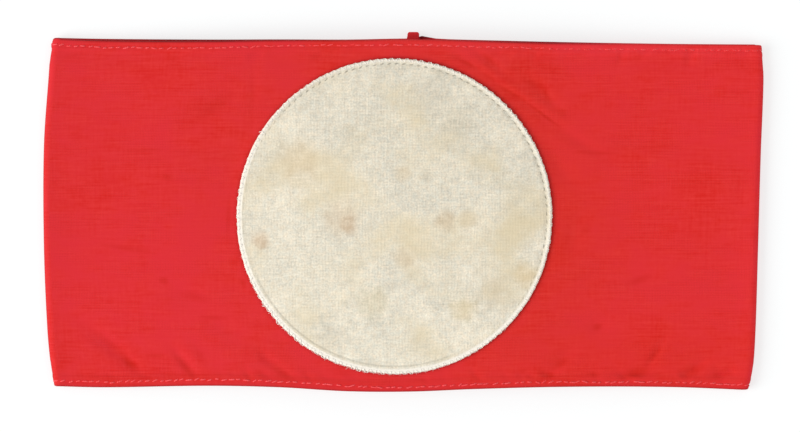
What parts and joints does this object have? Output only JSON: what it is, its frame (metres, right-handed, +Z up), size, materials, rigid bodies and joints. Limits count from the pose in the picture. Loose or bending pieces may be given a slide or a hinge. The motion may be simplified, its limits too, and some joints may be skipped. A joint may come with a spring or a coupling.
{
  "type": "cloth arm band with round patch",
  "caption": "Flattened loop of hemmed cotton cloth worn round the upper arm, with a plain round cloth patch sewn on its front.",
  "frame": {"origin": "middle of the part's box, on the surface that the back layer lies on", "axes": "+X along the flattened band towards its right fold, +Y across the band towards its upper hem, +Z up out of the patch"},
  "size_m": [0.2047, 0.1021, 0.0101],
  "materials": {
    "red_cloth": "matt plain-woven cotton, bright scarlet, with fine ribs along the band",
    "white_cloth": "matt off-white cotton, plain weave, slightly yellowed and lightly stained",
    "seam_cloth": "cut edge of the same scarlet cotton, darker in the shade inside the loop"
  },
  "bodies": {
    "root": {"band": "red_cloth", "round_patch": "white_cloth", "back_seam": "seam_cloth"}
  },
  "joints": []
}
